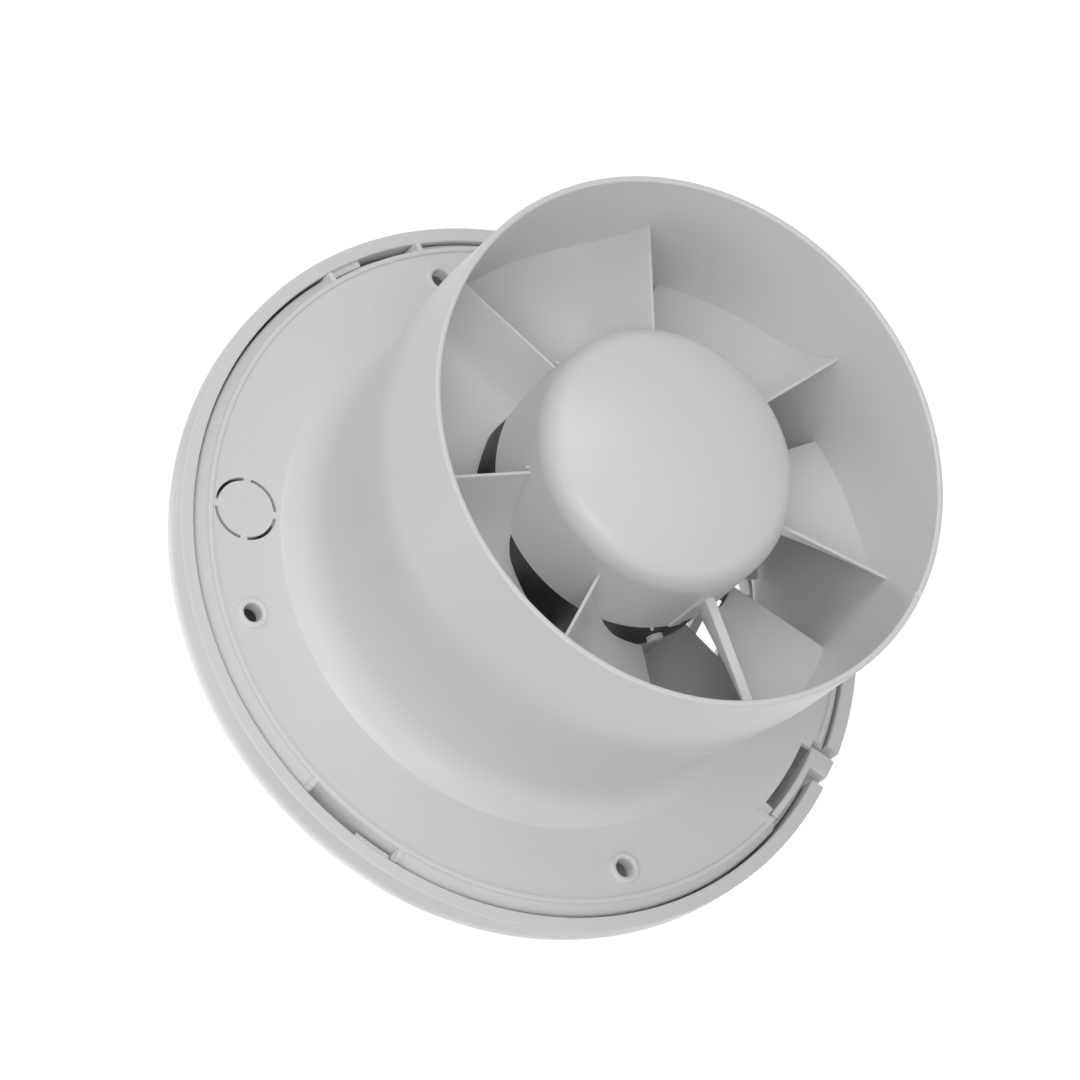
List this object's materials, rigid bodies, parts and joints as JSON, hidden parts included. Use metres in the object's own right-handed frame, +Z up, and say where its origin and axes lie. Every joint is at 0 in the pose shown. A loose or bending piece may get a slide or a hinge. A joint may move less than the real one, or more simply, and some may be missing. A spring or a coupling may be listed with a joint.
{
  "type": "bathroom exhaust fan",
  "caption": "Round wall-mounted exhaust fan: grille cover, base plate, flared duct tube with swirling guide vanes, domed motor cup and bladed impeller.",
  "frame": {"origin": "on the fan's axis, in the plane of the wall that the base's rear ridge bears on, at the centre of the four wall screws", "axes": "+Y runs along the fan's axis into the duct, the front cover faces -Y, +Z is up and the release latch is at the bottom"},
  "size_m": [0.205, 0.1217, 0.205],
  "materials": {
    "housing_plastic": "satin",
    "cover_plastic": "satin",
    "impeller_plastic": "satin",
    "black_plastic": "satin",
    "light_plastic": "matt",
    "black_rubber": "matt",
    "lamination_steel": "satin",
    "bright_steel": "bright",
    "cage_aluminium": "satin",
    "bush_bronze": "satin",
    "winding_copper": "gloss",
    "lead_sheath": "satin"
  },
  "bodies": {
    "housing": {"duct_tube": "housing_plastic", "base_plate": "housing_plastic", "base_rim": "housing_plastic", "motor_cup": "housing_plastic", "guide_vanes": "housing_plastic", "motor_shield": "black_plastic", "shield_plug": "light_plastic", "cup_rings": "black_rubber", "stator_core": "lamination_steel", "coil_bobbins": "light_plastic", "pole_windings": "winding_copper", "rear_bracket": "bright_steel", "front_bush": "bush_bronze", "rear_bush": "bush_bronze", "motor_screws": "bright_steel", "terminal_block": "light_plastic", "terminal_screws": "bush_bronze", "terminal_cover": "housing_plastic", "cable_clamp": "light_plastic", "clamp_screws": "bright_steel", "motor_lead": "lead_sheath", "lead_grommet": "black_rubber"},
    "impeller": {"impeller": "impeller_plastic", "impeller_nut": "bright_steel", "impeller_washer": "bright_steel", "shaft": "bright_steel", "rotor_core": "lamination_steel", "rotor_cage": "cage_aluminium", "thrust_washers": "light_plastic"},
    "front_cover": {"cover_rim": "cover_plastic", "front_cover": "cover_plastic", "grille_bars": "cover_plastic"},
    "release_latch": {"release_latch": "housing_plastic"}
  },
  "joints": [
    {"name": "impeller_spin", "type": "hinge", "parent": "housing", "child": "impeller", "pos_m": [0, 0, 0], "axis": [0, -1, 0], "continuous": true},
    {"name": "cover_pull", "type": "slide", "parent": "housing", "child": "front_cover", "axis": [0, -1, 0], "range_m": [0, 0.06]},
    {"name": "latch_press", "type": "hinge", "parent": "housing", "child": "release_latch", "pos_m": [0.02097, -0.0033, -0.0923], "axis": [0, 1, 0], "range_deg": [0, 3.3], "stiffness_Nm_per_rad": 4.5}
  ]
}
